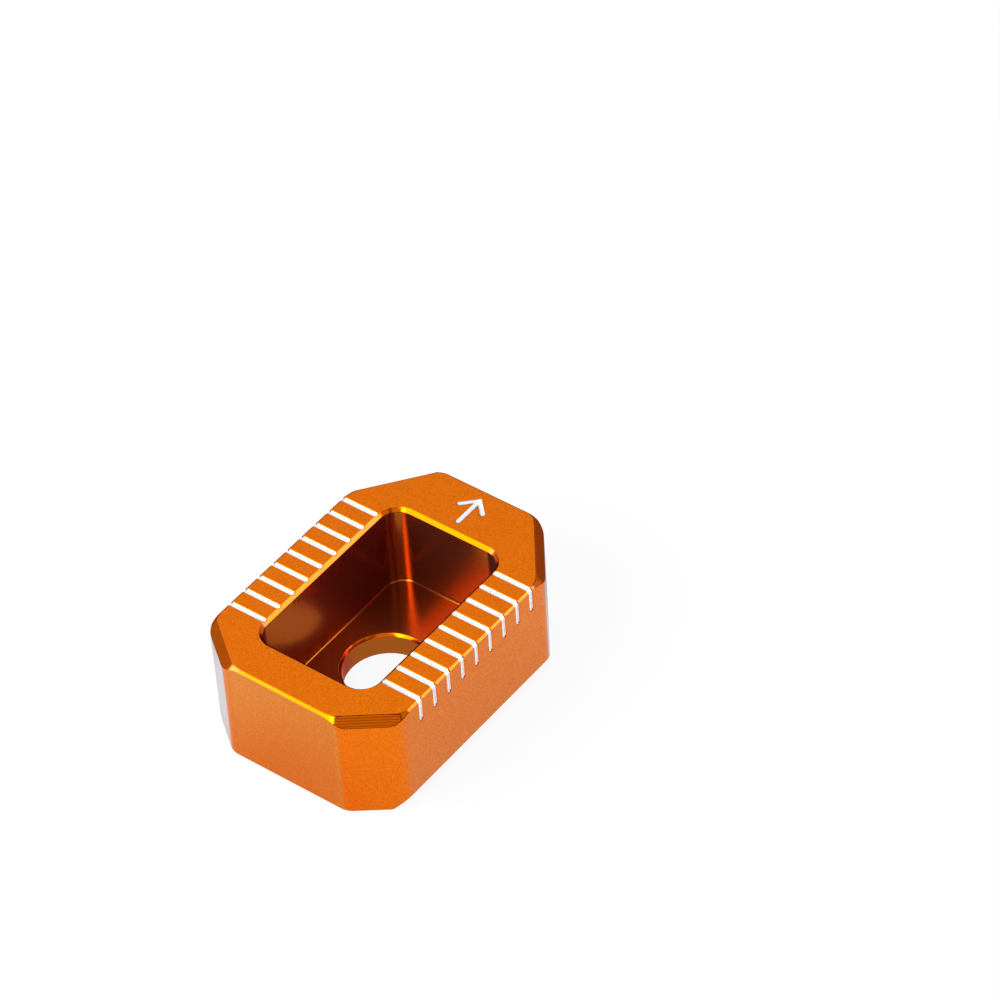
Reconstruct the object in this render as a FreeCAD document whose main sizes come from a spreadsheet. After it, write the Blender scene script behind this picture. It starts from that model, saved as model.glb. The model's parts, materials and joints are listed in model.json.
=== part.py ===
import FreeCAD, Part
import math
import os
import Sketcher

# Chain adjuster axle block, machined from one piece of aluminium.
#
# The block sits in the slot of a motorcycle's swingarm and carries one end of the
# rear axle. It slides along its slot to set the chain's tension, and the engraved
# scale shows how far it stands. The axle's head or nut rests in the pocket.
#
# Millimetres. The origin is on the axle's axis, at the back face that bears on the
# swingarm. +X runs along the slot towards the long end, +Y across the slot, and
# +Z is the axle's axis, out of the pocket's mouth.

# Driving dimensions, in millimetres or as a count
DIMENSIONS = [
    ("axle_diameter", 20.0, "axle that passes through the block"),
    ("axle_clearance", 0.1, "bore is larger than the axle by this"),
    ("axle_to_short_end", 35.5, "from the axle's axis to the end beside the scale's start"),
    ("axle_to_long_end", 40.0, "from the axle's axis to the far end"),
    ("block_width", 53.0, "across the slot"),
    ("block_height", 28.2, "along the axle"),
    ("short_cut_along", 8.0, "corner cut of the short end, along the slot"),
    ("short_cut_across", 10.5, "corner cut of the short end, across the slot"),
    ("long_cut_along", 14.6, "corner cut of the long end, along the slot"),
    ("long_cut_across", 11.3, "corner cut of the long end, across the slot"),
    ("upright_edge_radius", 4.8, "upright edges of the outline, but for the long end's"),
    ("long_end_radius", 6.8, "upright edges between the long end and its corner cuts"),
    ("top_chamfer", 0.62, "all round the top edge, 45 degrees"),
    ("corner_facet", 2.1, "flat facet over each corner cut, 45 degrees"),
    ("back_bevel", 2.6, "along both long edges of the back, 45 degrees"),
    ("edge_break", 0.25, "deburring of the back edges"),
    ("pocket_length", 50.0, "along the slot, about the axle"),
    ("pocket_width", 31.2, "across the slot, about the axle"),
    ("pocket_corner_radius", 5.0, "left by the end mill"),
    ("pocket_rim_chamfer", 0.85, "round the pocket's mouth"),
    ("floor_thickness", 5.95, "from the back face to the pocket's floor"),
    ("floor_corner", 0.35, "left by the mill's bevelled tip between wall and floor, 45 degrees"),
    ("bore_chamfer", 0.6, "round the bore at the pocket's floor"),
    ("mark_pitch", 5.0, "from one mark of the scale to the next"),
    ("mark_count", 9, "marks on each side, the middle one at the axle"),
    ("mark_width", 1.4, "of each engraved groove"),
    ("mark_depth", 0.31, "of each engraved groove"),
    ("mark_drop", 6.4, "how far a mark runs down the side"),
    ("cutter_overrun", 3.0, "how far a cut is carried past the block"),
]

doc = FreeCAD.newDocument("axle_block_design")

sizes = doc.addObject("Spreadsheet::Sheet", "Sizes")
for row, (alias, value, meaning) in enumerate(DIMENSIONS, start=2):
    sizes.set(f"A{row}", alias)
    sizes.set(f"B{row}", str(value))
    sizes.set(f"C{row}", meaning)
    sizes.setAlias(f"B{row}", alias)
doc.recompute()

body = doc.addObject("PartDesign::Body", "AxleBlock")
body.Label = "axle_block"
origin_plane = {item.Role: item for item in body.Origin.OriginFeatures}


def new_sketch(name, plane, **offset):
    """A sketch on one of the body's own planes. offset binds parts of its attachment."""
    sketch = body.newObject("Sketcher::SketchObject", name)
    sketch.AttachmentSupport = [(origin_plane[plane], "")]
    sketch.MapMode = "FlatFace"
    for member, formula in offset.items():
        sketch.setExpression("AttachmentOffset." + member.replace("__", "."), formula)
    return sketch


def polygon(sketch, corners):
    """A closed outline of straight lines, each joined to the next."""
    points = [FreeCAD.Vector(x, y, 0) for x, y in corners]
    count = len(points)
    for i in range(count):
        sketch.addGeometry(Part.LineSegment(points[i], points[(i + 1) % count]), False)
    for i in range(count):
        sketch.addConstraint(Sketcher.Constraint("Coincident", i, 2, (i + 1) % count, 1))


def dimension(sketch, name, formula, *reference):
    """A named dimension of a sketch, bound to the sheet."""
    index = sketch.addConstraint(Sketcher.Constraint(*reference))
    sketch.renameConstraint(index, name)
    sketch.setExpression(f"Constraints.{name}", formula)


def edge_names(feature, belongs):
    """Names of the edges of a feature whose middle and ends pass a test."""
    names = []
    for number, edge in enumerate(feature.Shape.Edges, start=1):
        middle = edge.valueAt((edge.FirstParameter + edge.LastParameter) / 2)
        if belongs(edge, [vertex.Point for vertex in edge.Vertexes] + [middle]):
            names.append(f"Edge{number}")
    return names


def dress(kind, name, base, belongs, member, formula):
    """A fillet or chamfer on the edges of the last feature that pass a test."""
    doc.recompute()
    feature = body.newObject(kind, name)
    feature.Base = (base, edge_names(base, belongs))
    feature.setExpression(member, formula)
    doc.recompute()
    return feature


def cut(sketch, name, formula=None, **settings):
    """A pocket from a sketch, to a depth or right through."""
    pocket = body.newObject("PartDesign::Pocket", name)
    pocket.Profile = sketch
    if formula is None:
        pocket.Type = "ThroughAll"
    else:
        pocket.Type = "Length"
        pocket.setExpression("Length", formula)
    for member, value in settings.items():
        setattr(pocket, member, value)
    sketch.Visibility = False
    doc.recompute()
    return pocket


def size(alias):
    """The present value of a driving dimension."""
    return float(sizes.get(alias))


TOLERANCE = 1e-4
X_AXIS = -1
ORIGIN = (-1, 1)

# The outline: a rectangle with four cut corners, the short end on the left.
short_x = -size("axle_to_short_end")
long_x = size("axle_to_long_end")
side_y = size("block_width") / 2
short_y = side_y - size("short_cut_across")
long_y = side_y - size("long_cut_across")
short_side_x = short_x + size("short_cut_along")
long_side_x = long_x - size("long_cut_along")

outline = new_sketch("Outline", "XY_Plane")
polygon(outline, [
    (short_x, short_y), (short_x, -short_y), (short_side_x, -side_y), (long_side_x, -side_y),
    (long_x, -long_y), (long_x, long_y), (long_side_x, side_y), (short_side_x, side_y),
])
for one, other in [((0, 1), (0, 2)), ((4, 1), (4, 2)), ((2, 1), (6, 2)), ((2, 2), (6, 1))]:
    outline.addConstraint(Sketcher.Constraint("Symmetric", *one, *other, X_AXIS))
outline.addConstraint(Sketcher.Constraint("Horizontal", 2))
dimension(outline, "short_end", "Sizes.axle_to_short_end", "DistanceX", 0, 1, *ORIGIN, -short_x)
dimension(outline, "long_end", "Sizes.axle_to_long_end", "DistanceX", *ORIGIN, 4, 1, long_x)
dimension(outline, "width", "Sizes.block_width", "DistanceY", 2, 1, 6, 2, 2 * side_y)
dimension(outline, "short_along", "Sizes.short_cut_along", "DistanceX", 0, 2, 2, 1, short_side_x - short_x)
dimension(outline, "short_across", "Sizes.short_cut_across", "DistanceY", 2, 1, 0, 2, side_y - short_y)
dimension(outline, "long_along", "Sizes.long_cut_along", "DistanceX", 2, 2, 4, 1, long_x - long_side_x)
dimension(outline, "long_across", "Sizes.long_cut_across", "DistanceY", 2, 2, 4, 1, side_y - long_y)

blank = body.newObject("PartDesign::Pad", "Blank")
blank.Profile = outline
blank.setExpression("Length", "Sizes.block_height")
outline.Visibility = False
doc.recompute()


# The upright edges of the outline are rounded before anything else is cut.
def is_upright(points):
    return all(math.hypot(point.x - points[0].x, point.y - points[0].y) < TOLERANCE for point in points)


def is_long_end_upright(edge, points):
    return is_upright(points) and abs(points[0].x - long_x) < TOLERANCE


def is_other_upright(edge, points):
    """A straight upright edge, not one that bounds the rounding of the long end."""
    at_short_end = abs(points[0].x - short_x) < TOLERANCE
    at_side = abs(abs(points[0].y) - side_y) < TOLERANCE
    return is_upright(points) and (at_short_end or at_side)


long_rounded = dress(
    "PartDesign::Fillet", "LongEndEdges", blank, is_long_end_upright, "Radius", "Sizes.long_end_radius",
)
rounded = dress(
    "PartDesign::Fillet", "UprightEdges", long_rounded, is_other_upright, "Radius", "Sizes.upright_edge_radius",
)


# A small chamfer follows the whole top edge.
def is_top(edge, points):
    return all(abs(point.z - size("block_height")) < TOLERANCE for point in points)


chamfered = dress("PartDesign::Chamfer", "TopChamfer", rounded, is_top, "Size", "Sizes.top_chamfer")


# A flat facet slopes down over each corner cut. Its profile is a right triangle, drawn
# on a plane square to the corner's wall, whose long side passes corner_facet in from
# the wall at the top and meets the wall as far below the top.
def facet_cutter(name, turn, centre_x, centre_y):
    over = size("cutter_overrun")
    reach = size("corner_facet") + 2 * over
    sketch = new_sketch(
        name, "XZ_Plane",
        Base__x=centre_x, Base__y="Sizes.block_height", Base__z=f"-({centre_y})",
        Rotation__Axis__x="0", Rotation__Axis__y="1", Rotation__Axis__z="0", Rotation__Angle=turn,
    )
    polygon(sketch, [(-over, over), (-over, over - reach), (reach - over, over)])
    sketch.addConstraint(Sketcher.Constraint("Vertical", 0))
    sketch.addConstraint(Sketcher.Constraint("Horizontal", 2))
    leg = "Sizes.corner_facet + 2 * Sizes.cutter_overrun"
    dimension(sketch, "down", leg, "DistanceY", 1, 1, 0, 1, reach)
    dimension(sketch, "across", leg, "DistanceX", 0, 1, 2, 1, reach)
    dimension(sketch, "out", "Sizes.cutter_overrun", "DistanceX", 0, 1, *ORIGIN, over)
    dimension(sketch, "up", "Sizes.cutter_overrun", "DistanceY", *ORIGIN, 0, 1, over)
    return cut(sketch, name + "Cut", Midplane=True)


short_facet = facet_cutter(
    "ShortEndFacet",
    "atan(Sizes.short_cut_along / Sizes.short_cut_across)",
    "Sizes.short_cut_along / 2 - Sizes.axle_to_short_end",
    "Sizes.short_cut_across / 2 - Sizes.block_width / 2",
)
long_facet = facet_cutter(
    "LongEndFacet",
    "180 deg - atan(Sizes.long_cut_along / Sizes.long_cut_across)",
    "Sizes.axle_to_long_end - Sizes.long_cut_along / 2",
    "Sizes.long_cut_across / 2 - Sizes.block_width / 2",
)

# The long edges of the back are bevelled, to clear the slot's own corner radius.
over = size("cutter_overrun")
bevel_reach = size("back_bevel") + 2 * over
bevel_sketch = new_sketch("BackBevel", "YZ_Plane")
polygon(bevel_sketch, [
    (-side_y - over, -over), (-side_y - over + bevel_reach, -over), (-side_y - over, bevel_reach - over),
])
bevel_sketch.addConstraint(Sketcher.Constraint("Horizontal", 0))
bevel_sketch.addConstraint(Sketcher.Constraint("Vertical", 2))
bevel_leg = "Sizes.back_bevel + 2 * Sizes.cutter_overrun"
dimension(bevel_sketch, "across", bevel_leg, "DistanceX", 0, 1, 0, 2, bevel_reach)
dimension(bevel_sketch, "up", bevel_leg, "DistanceY", 0, 1, 2, 1, bevel_reach)
dimension(bevel_sketch, "below", "Sizes.cutter_overrun", "DistanceY", 0, 1, *ORIGIN, over)
dimension(bevel_sketch, "out", "Sizes.block_width / 2 + Sizes.cutter_overrun",
          "DistanceX", 0, 1, *ORIGIN, side_y + over)
back_bevel = cut(bevel_sketch, "BackBevelCut", Midplane=True)

both_sides = body.newObject("PartDesign::Mirrored", "BothSides")
both_sides.Originals = [short_facet, long_facet, back_bevel]
both_sides.MirrorPlane = (origin_plane["XZ_Plane"], [""])
body.Tip = both_sides
doc.recompute()


# The back's outer edges are only deburred.
def is_back(edge, points):
    return all(abs(point.z) < TOLERANCE for point in points)


deburred = dress("PartDesign::Chamfer", "BackDeburr", both_sides, is_back, "Size", "Sizes.edge_break")

# The pocket for the axle's head or nut, with the corner radius of its end mill.
pocket_x = size("pocket_length") / 2
pocket_y = size("pocket_width") / 2
corner = size("pocket_corner_radius")
pocket_sketch = new_sketch("PocketOutline", "XY_Plane", Base__z="Sizes.block_height")
centres = [
    (corner - pocket_x, corner - pocket_y), (pocket_x - corner, corner - pocket_y),
    (pocket_x - corner, pocket_y - corner), (corner - pocket_x, pocket_y - corner),
]
sides = [
    ((corner - pocket_x, -pocket_y), (pocket_x - corner, -pocket_y)),
    ((pocket_x, corner - pocket_y), (pocket_x, pocket_y - corner)),
    ((pocket_x - corner, pocket_y), (corner - pocket_x, pocket_y)),
    ((-pocket_x, pocket_y - corner), (-pocket_x, corner - pocket_y)),
]
quarter = math.pi / 2
for (start, end), centre, quadrant in zip(sides, centres, (2, 3, 0, 1)):
    pocket_sketch.addGeometry(Part.LineSegment(FreeCAD.Vector(*start, 0), FreeCAD.Vector(*end, 0)), False)
    circle = Part.Circle(FreeCAD.Vector(*centre, 0), FreeCAD.Vector(0, 0, 1), corner)
    arc = Part.ArcOfCircle(circle, quadrant * quarter, (quadrant + 1) * quarter)
    pocket_sketch.addGeometry(arc, False)
for i in range(4):
    line, arc_before, arc_after = 2 * i, 2 * i + 1, (2 * i + 3) % 8
    pocket_sketch.addConstraint(Sketcher.Constraint("Tangent", arc_before, 2, line, 1))
    pocket_sketch.addConstraint(Sketcher.Constraint("Tangent", line, 2, arc_after, 1))
pocket_sketch.addConstraint(Sketcher.Constraint("Horizontal", 0))
pocket_sketch.addConstraint(Sketcher.Constraint("Horizontal", 4))
pocket_sketch.addConstraint(Sketcher.Constraint("Vertical", 2))
pocket_sketch.addConstraint(Sketcher.Constraint("Vertical", 6))
for arc in (3, 5, 7):
    pocket_sketch.addConstraint(Sketcher.Constraint("Equal", 1, arc))
pocket_sketch.addConstraint(Sketcher.Constraint("Symmetric", 1, 3, 5, 3, *ORIGIN))
dimension(pocket_sketch, "radius", "Sizes.pocket_corner_radius", "Radius", 1, corner)
dimension(pocket_sketch, "length", "Sizes.pocket_length", "DistanceX", 6, 1, 2, 1, 2 * pocket_x)
dimension(pocket_sketch, "width", "Sizes.pocket_width", "DistanceY", 0, 1, 4, 1, 2 * pocket_y)
hollow = cut(pocket_sketch, "AxleHeadPocket", "Sizes.block_height - Sizes.floor_thickness")


def in_pocket(points, height):
    return all(
        abs(point.z - height) < TOLERANCE
        and abs(point.x) < pocket_x + TOLERANCE
        and abs(point.y) < pocket_y + TOLERANCE
        for point in points
    )


def is_rim(edge, points):
    return in_pocket(points, size("block_height"))


def is_floor_edge(edge, points):
    return in_pocket(points, size("floor_thickness"))


rimmed = dress("PartDesign::Chamfer", "PocketRim", hollow, is_rim, "Size", "Sizes.pocket_rim_chamfer")
floored = dress("PartDesign::Chamfer", "PocketFloor", rimmed, is_floor_edge, "Size", "Sizes.floor_corner")

# The bore for the axle runs from the back face to the pocket's floor.
bore_sketch = new_sketch("BoreCircle", "XY_Plane")
bore_radius = (size("axle_diameter") + size("axle_clearance")) / 2
axis_up = FreeCAD.Vector(0, 0, 1)
bore_sketch.addGeometry(Part.Circle(FreeCAD.Vector(0, 0, 0), axis_up, bore_radius), False)
bore_sketch.addConstraint(Sketcher.Constraint("Coincident", 0, 3, *ORIGIN))
dimension(bore_sketch, "bore", "Sizes.axle_diameter + Sizes.axle_clearance", "Diameter", 0, 2 * bore_radius)
bored = cut(bore_sketch, "AxleBore", Reversed=True)


def is_bore_mouth(edge, points):
    return all(
        abs(point.z - size("floor_thickness")) < TOLERANCE
        and abs(math.hypot(point.x, point.y) - bore_radius) < TOLERANCE
        for point in points
    )


mouth = dress("PartDesign::Chamfer", "BoreMouth", bored, is_bore_mouth, "Size", "Sizes.bore_chamfer")

# One mark of the scale: a groove across the top, whose round inner end runs out in the
# pocket's rim chamfer, and a groove down the side with a round lower end. The two meet
# inside the top chamfer.
first_mark = "-Sizes.mark_pitch * (Sizes.mark_count - 1) / 2"
first_x = -size("mark_pitch") * (size("mark_count") - 1) / 2
half_mark = size("mark_width") / 2


def groove(name, plane, sketch_offset, open_end, round_end, open_formula, round_formula):
    """A groove along a sketch's upright axis, open at one end and round at the other."""
    sketch = new_sketch(name, plane, Base__x=first_mark, **sketch_offset)
    way = 1 if round_end > open_end else -1
    centre = round_end - way * half_mark
    left = FreeCAD.Vector(-half_mark, open_end, 0)
    right = FreeCAD.Vector(half_mark, open_end, 0)
    left_end = FreeCAD.Vector(-half_mark, centre, 0)
    right_end = FreeCAD.Vector(half_mark, centre, 0)
    tip = FreeCAD.Vector(0, round_end, 0)
    sketch.addGeometry(Part.LineSegment(left, right), False)
    sketch.addGeometry(Part.LineSegment(right, right_end), False)
    sketch.addGeometry(Part.Arc(right_end, tip, left_end), False)
    sketch.addGeometry(Part.LineSegment(left_end, left), False)
    arc_at_right, arc_at_left = (1, 2) if way > 0 else (2, 1)
    sketch.addConstraint(Sketcher.Constraint("Coincident", 0, 2, 1, 1))
    sketch.addConstraint(Sketcher.Constraint("Coincident", 3, 2, 0, 1))
    sketch.addConstraint(Sketcher.Constraint("Tangent", 1, 2, 2, arc_at_right))
    sketch.addConstraint(Sketcher.Constraint("Tangent", 2, arc_at_left, 3, 1))
    sketch.addConstraint(Sketcher.Constraint("Vertical", 1))
    sketch.addConstraint(Sketcher.Constraint("Vertical", 3))
    sketch.addConstraint(Sketcher.Constraint("Horizontal", 0))
    sketch.addConstraint(Sketcher.Constraint("PointOnObject", 2, 3, -2))
    dimension(sketch, "width", "Sizes.mark_width", "DistanceX", 0, 1, 0, 2, 2 * half_mark)
    dimension(sketch, "open_end", open_formula, "DistanceY", 0, 1, *ORIGIN, -open_end)
    dimension(sketch, "round_end", round_formula, "DistanceY", 2, 3, *ORIGIN, -centre)
    return cut(sketch, name + "Cut", "Sizes.mark_depth")


top_groove = groove(
    "TopMark", "XY_Plane", {"Base__z": "Sizes.block_height"},
    -side_y - over, -(pocket_y + size("pocket_rim_chamfer") - size("mark_depth")),
    "Sizes.block_width / 2 + Sizes.cutter_overrun",
    "Sizes.pocket_width / 2 + Sizes.pocket_rim_chamfer - Sizes.mark_depth + Sizes.mark_width / 2",
)
side_groove = groove(
    "SideMark", "XZ_Plane", {"Base__y": "Sizes.block_height", "Base__z": "Sizes.block_width / 2"},
    over, -size("mark_drop"),
    "-Sizes.cutter_overrun",
    "Sizes.mark_drop - Sizes.mark_width / 2",
)

# The scale: the mark repeated along the block, and the whole row on the other side.
scale = body.newObject("PartDesign::MultiTransform", "Scale")
scale.Originals = [top_groove, side_groove]
along = body.newObject("PartDesign::LinearPattern", "AlongBlock")
along.Direction = (origin_plane["X_Axis"], [""])
along.setExpression("Length", "Sizes.mark_pitch * (Sizes.mark_count - 1)")
along.setExpression("Occurrences", "Sizes.mark_count")
across = body.newObject("PartDesign::Mirrored", "AcrossBlock")
across.MirrorPlane = (origin_plane["XZ_Plane"], [""])
scale.Transformations = [along, across]
body.Tip = scale
doc.recompute()

# Every object must have computed, and each cut must have taken something away.
for item in doc.Objects:
    if "Invalid" in item.State or "Error" in item.State:
        raise RuntimeError(f"{item.Name} did not compute: {item.State}")
steps = [
    blank, long_rounded, rounded, chamfered, short_facet, long_facet, back_bevel, both_sides, deburred, hollow, rimmed,
    floored, bored, mouth, top_groove, side_groove, scale,
]
for before, after in zip(steps, steps[1:]):
    change = after.Shape.Volume - before.Shape.Volume
    if abs(change) < TOLERANCE:
        raise RuntimeError(f"{after.Name} changed nothing")
    print(f"{after.Name}: {change:+.1f} mm3")
if body.Shape.isNull() or not body.Shape.isValid() or len(body.Shape.Solids) != 1:
    raise RuntimeError("axle_block is not one valid solid")

os.makedirs("parts", exist_ok=True)
body.Shape.exportStep(f"parts/{body.Label}.step")
box = body.Shape.BoundBox
print(f"{body.Label}: {box.XLength:.2f} x {box.YLength:.2f} x {box.ZLength:.2f} mm, "
      f"{body.Shape.Volume / 1000:.2f} cm3, {len(body.Shape.Faces)} faces")
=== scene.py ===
# %% [markdown]
# # A chain adjuster's axle block
#
# This lesson dresses one machined part: the block that carries the end of a
# motorcycle's rear axle in its slot. The real one is milled from a bar of
# aluminium, blasted with glass beads, milled again where it shines, anodised
# orange, and last of all engraved, which cuts through the colour to bare metal.
#
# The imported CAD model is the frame. It gives the block's box, so the sizes that
# follow are either read from it or are the part's own dimensions in millimetres.

import json
import math

import bpy
import numpy as np
from mathutils import Matrix, Vector


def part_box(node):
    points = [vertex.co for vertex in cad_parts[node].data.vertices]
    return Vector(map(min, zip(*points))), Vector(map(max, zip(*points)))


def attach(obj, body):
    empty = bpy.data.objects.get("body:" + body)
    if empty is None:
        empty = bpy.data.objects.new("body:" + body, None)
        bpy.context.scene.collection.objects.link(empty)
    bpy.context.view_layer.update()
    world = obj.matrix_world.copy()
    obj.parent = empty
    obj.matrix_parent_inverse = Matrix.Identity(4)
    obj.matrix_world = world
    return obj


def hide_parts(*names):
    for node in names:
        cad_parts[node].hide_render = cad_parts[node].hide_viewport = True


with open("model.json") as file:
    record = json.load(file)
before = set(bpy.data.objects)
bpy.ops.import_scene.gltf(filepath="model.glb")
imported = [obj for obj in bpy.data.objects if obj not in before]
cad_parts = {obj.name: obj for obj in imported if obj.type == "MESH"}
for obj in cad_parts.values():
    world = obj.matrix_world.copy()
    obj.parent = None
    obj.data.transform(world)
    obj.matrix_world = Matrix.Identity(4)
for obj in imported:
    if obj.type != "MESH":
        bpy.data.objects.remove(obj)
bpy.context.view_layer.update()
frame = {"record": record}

MM = 0.001
BLOCK = "axle_block"
low, high = (np.array(corner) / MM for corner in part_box(BLOCK))
print("block from", low.round(2), "to", high.round(2), "mm")

# %% [markdown]
# ## The sizes
#
# A block like this is drawn with few numbers: the corner cuts of its outline, the
# chamfer that runs round the top, the larger facet over each corner cut, the bevel
# along the back, the pocket, the bore and the marks. Everything below is worked out
# from them, so a change of one number moves all that depends on it.

# %% Sizes in millimetres
SHORT_END = -low[0]
LONG_END = high[0]
HALF_WIDTH = high[1]
HEIGHT = high[2]

SHORT_CUT = (8.0, 10.5)
LONG_CUT = (14.6, 11.3)
UPRIGHT_RADIUS = 4.8
LONG_END_RADIUS = 6.8
TOP_CHAMFER = 0.62
CORNER_FACET = 2.1
BACK_BEVEL = 2.6
EDGE_BREAK = 0.25

POCKET_HALF = (25.0, 15.6)
POCKET_CORNER = 5.0
RIM_CHAMFER = 0.85
FLOOR = 5.95
FLOOR_CORNER = 0.35
BORE_RADIUS = frame["record"]["mounts"][0]["dims"]["r_mm"]
BORE_CHAMFER = 0.6

MARK_PITCH = 5.0
MARKS = 9
MARK_WIDTH = 1.4
MARK_DEPTH = 0.31
MARK_DROP = 6.4
land = HALF_WIDTH - POCKET_HALF[1]
print(f"bore {2 * BORE_RADIUS:.2f} mm, land beside the pocket {land:.2f} mm")

# %% [markdown]
# ## A grid that closes on itself
#
# The block has one hole right through it, so its whole skin is a ring: one
# parameter runs round the axle, and the other runs round a section of the wall,
# up the outside, over the top, down the pocket, through the bore and back under the
# block. A grid of these two parameters has no seam and no pole, and no boolean is
# needed. The first parameter needs stations that fall where the shape needs them: close
# together round the corners and across each mark, and far apart on the flats.

# %% A path with round corners
# Offsets of the columns from the middle of a mark, closest at the groove's wall.
MARK_COLUMNS = np.array([0.0, 0.3, 0.5, 0.58, 0.64, 0.7, 0.76, 0.92, 1.3])
SIDE_REACH = 21.3
CORNER_STEP = 0.62
END_STEP = 0.26


def rounded_path(points, radii, share):
    """Places and inward directions along an open chain of straight runs with round corners.

    A corner of turn a and radius r takes r tan(a / 2) from each run and puts an arc of
    length r a there. share runs from 0 to 1 along the length of it all.
    """
    points = np.asarray(points, float)
    runs = np.diff(points, axis=0)
    lengths = np.hypot(*runs.T)
    ways = runs / lengths[:, None]
    headings = np.unwrap(np.arctan2(ways[:, 1], ways[:, 0]))
    turns = np.diff(headings)
    radii = np.asarray(radii, float)
    taken = radii * np.tan(turns / 2)
    straight = lengths - np.append(taken, 0) - np.insert(taken, 0, 0)
    pieces = np.empty(2 * len(runs) - 1)
    pieces[0::2] = straight
    pieces[1::2] = radii * turns
    starts = np.insert(np.cumsum(pieces), 0, 0)
    at = np.asarray(share) * starts[-1]
    piece = np.clip(np.searchsorted(starts, at, side="right") - 1, 0, len(pieces) - 1)
    run = piece // 2
    along = at - starts[piece]
    run_start = points[run] + ways[run] * np.insert(taken, 0, 0)[run][:, None]
    on_run = run_start + ways[run] * along[:, None]
    corner = np.minimum(run, len(radii) - 1)
    heading = headings[run] + np.where(piece % 2, along / radii[corner], 0)
    inward = np.column_stack([-np.sin(heading), np.cos(heading)])
    first_inward = np.column_stack([-ways[corner][:, 1], ways[corner][:, 0]])
    arc_start = points[corner + 1] - ways[corner] * taken[corner][:, None]
    centre = arc_start + first_inward * radii[corner][:, None]
    on_arc = centre - inward * radii[corner][:, None]
    return np.where((piece % 2 == 1)[:, None], on_arc, on_run), inward, starts[-1]


bent = rounded_path([(0, 0), (10, 0), (10, 10)], (2,), np.zeros(1))[2]
print(f"two runs of 10 mm with a round corner of 2 mm are {bent:.2f} mm long")


# %% A corner of the pocket
def pocket_arc(angle):
    """Places and outward directions on a corner of the pocket: its centre plus radius times
    the sine and cosine of the angle, measured from the -Y direction."""
    outward = np.column_stack([np.sin(angle), -np.cos(angle)])
    centre = np.array([POCKET_HALF[0] - POCKET_CORNER, POCKET_CORNER - POCKET_HALF[1]])
    return centre + POCKET_CORNER * outward, outward


print("columns across one mark:", 2 * len(MARK_COLUMNS) - 1)

# %% [markdown]
# Half of the ring is enough, because the block is the same on both sides. Each
# station is a pair: a place on the outline with its inward direction, and the place
# on the pocket's edge that belongs to it. Along the sides both have the same x, so
# that a mark's columns run straight across from one to the other.

# %% Columns along the sides
PAST_LAST_MARK = 1.2
centres = MARK_PITCH * (np.arange(MARKS) - (MARKS - 1) / 2)
offsets = np.concatenate([-MARK_COLUMNS, MARK_COLUMNS])
near_marks = (centres[:, None] + offsets).ravel()
between = np.append(centres - MARK_PITCH / 2, centres[-1] + PAST_LAST_MARK)
side_x = np.unique(np.round(np.concatenate([near_marks, between]), 4))
side_x = side_x[np.abs(side_x) < SIDE_REACH]
ARC_START = math.asin((SIDE_REACH - POCKET_HALF[0] + POCKET_CORNER) / POCKET_CORNER)
END_REACH = POCKET_HALF[1] - POCKET_CORNER
print("columns along a side:", len(side_x))


# %% Stations of a corner, a side and an end
def corner_stations(end_x, cut, radii):
    """One corner of the outline beside one corner arc of the pocket, from end to side."""
    sign = math.copysign(1, end_x)
    chain = [
        (end_x, -END_REACH), (end_x, cut[1] - HALF_WIDTH),
        (end_x - sign * cut[0], -HALF_WIDTH), (sign * SIDE_REACH, -HALF_WIDTH),
    ]
    if sign > 0:
        chain.reverse()
    length = rounded_path(chain, radii, np.array([0.0]))[2]
    share = np.linspace(0, 1, int(length / CORNER_STEP) + 1)
    place, inward, length = rounded_path(chain, radii, share)
    angle = math.pi / 2 + (ARC_START - math.pi / 2) * (share if sign < 0 else 1 - share)
    rim, outward = pocket_arc(angle)
    return place, inward, rim * (sign, 1), outward * (sign, 1)


def side_stations():
    """The long side, where outline and pocket share x and the pocket's ends curve away."""
    past = np.maximum(np.abs(side_x) - POCKET_HALF[0] + POCKET_CORNER, 0)
    rim, outward = pocket_arc(np.arcsin(past / POCKET_CORNER))
    sign = np.where(side_x < 0, -1, 1)
    rim[:, 0] = np.where(past > 0, rim[:, 0] * sign, side_x)
    outward[:, 0] *= sign
    place = np.column_stack([side_x, np.full_like(side_x, -HALF_WIDTH)])
    inward = np.tile([0.0, 1.0], (len(side_x), 1))
    return place, inward, rim, outward


def end_stations(end_x, ys):
    """A flat end, where outline and pocket share y."""
    sign = math.copysign(1, end_x)
    place = np.column_stack([np.full_like(ys, end_x), ys])
    rim = np.column_stack([np.full_like(ys, sign * POCKET_HALF[0]), ys])
    inward = np.tile([-sign, 0.0], (len(ys), 1))
    return place, inward, rim, -inward


print("stations on the pocket's straight side:", len(side_stations()[0]))

# %% Half the ring, and its mirror image
ARROW_STEPS = 18
END_COLUMNS = 6
short_ys = -np.linspace(0, END_REACH, END_COLUMNS)[:-1]
over_arrow = END_STEP * np.arange(ARROW_STEPS)[::-1]
beside_arrow = np.linspace(END_REACH, ARROW_STEPS * END_STEP, END_COLUMNS)[1:]
long_ys = -np.concatenate([beside_arrow, over_arrow])
half = [
    end_stations(-SHORT_END, short_ys),
    corner_stations(-SHORT_END, SHORT_CUT, (UPRIGHT_RADIUS, UPRIGHT_RADIUS)),
    side_stations(),
    corner_stations(LONG_END, LONG_CUT, (UPRIGHT_RADIUS, LONG_END_RADIUS)),
    end_stations(LONG_END, long_ys),
]
outline, inward, rim, outward = (np.concatenate(column) for column in zip(*half))
mirror = np.array([1.0, -1.0])
back_way = slice(-2, 0, -1)
outline, inward, rim, outward = (
    np.concatenate([column, column[back_way] * mirror])
    for column in (outline, inward, rim, outward)
)
print("stations round the block:", len(outline))

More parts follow.
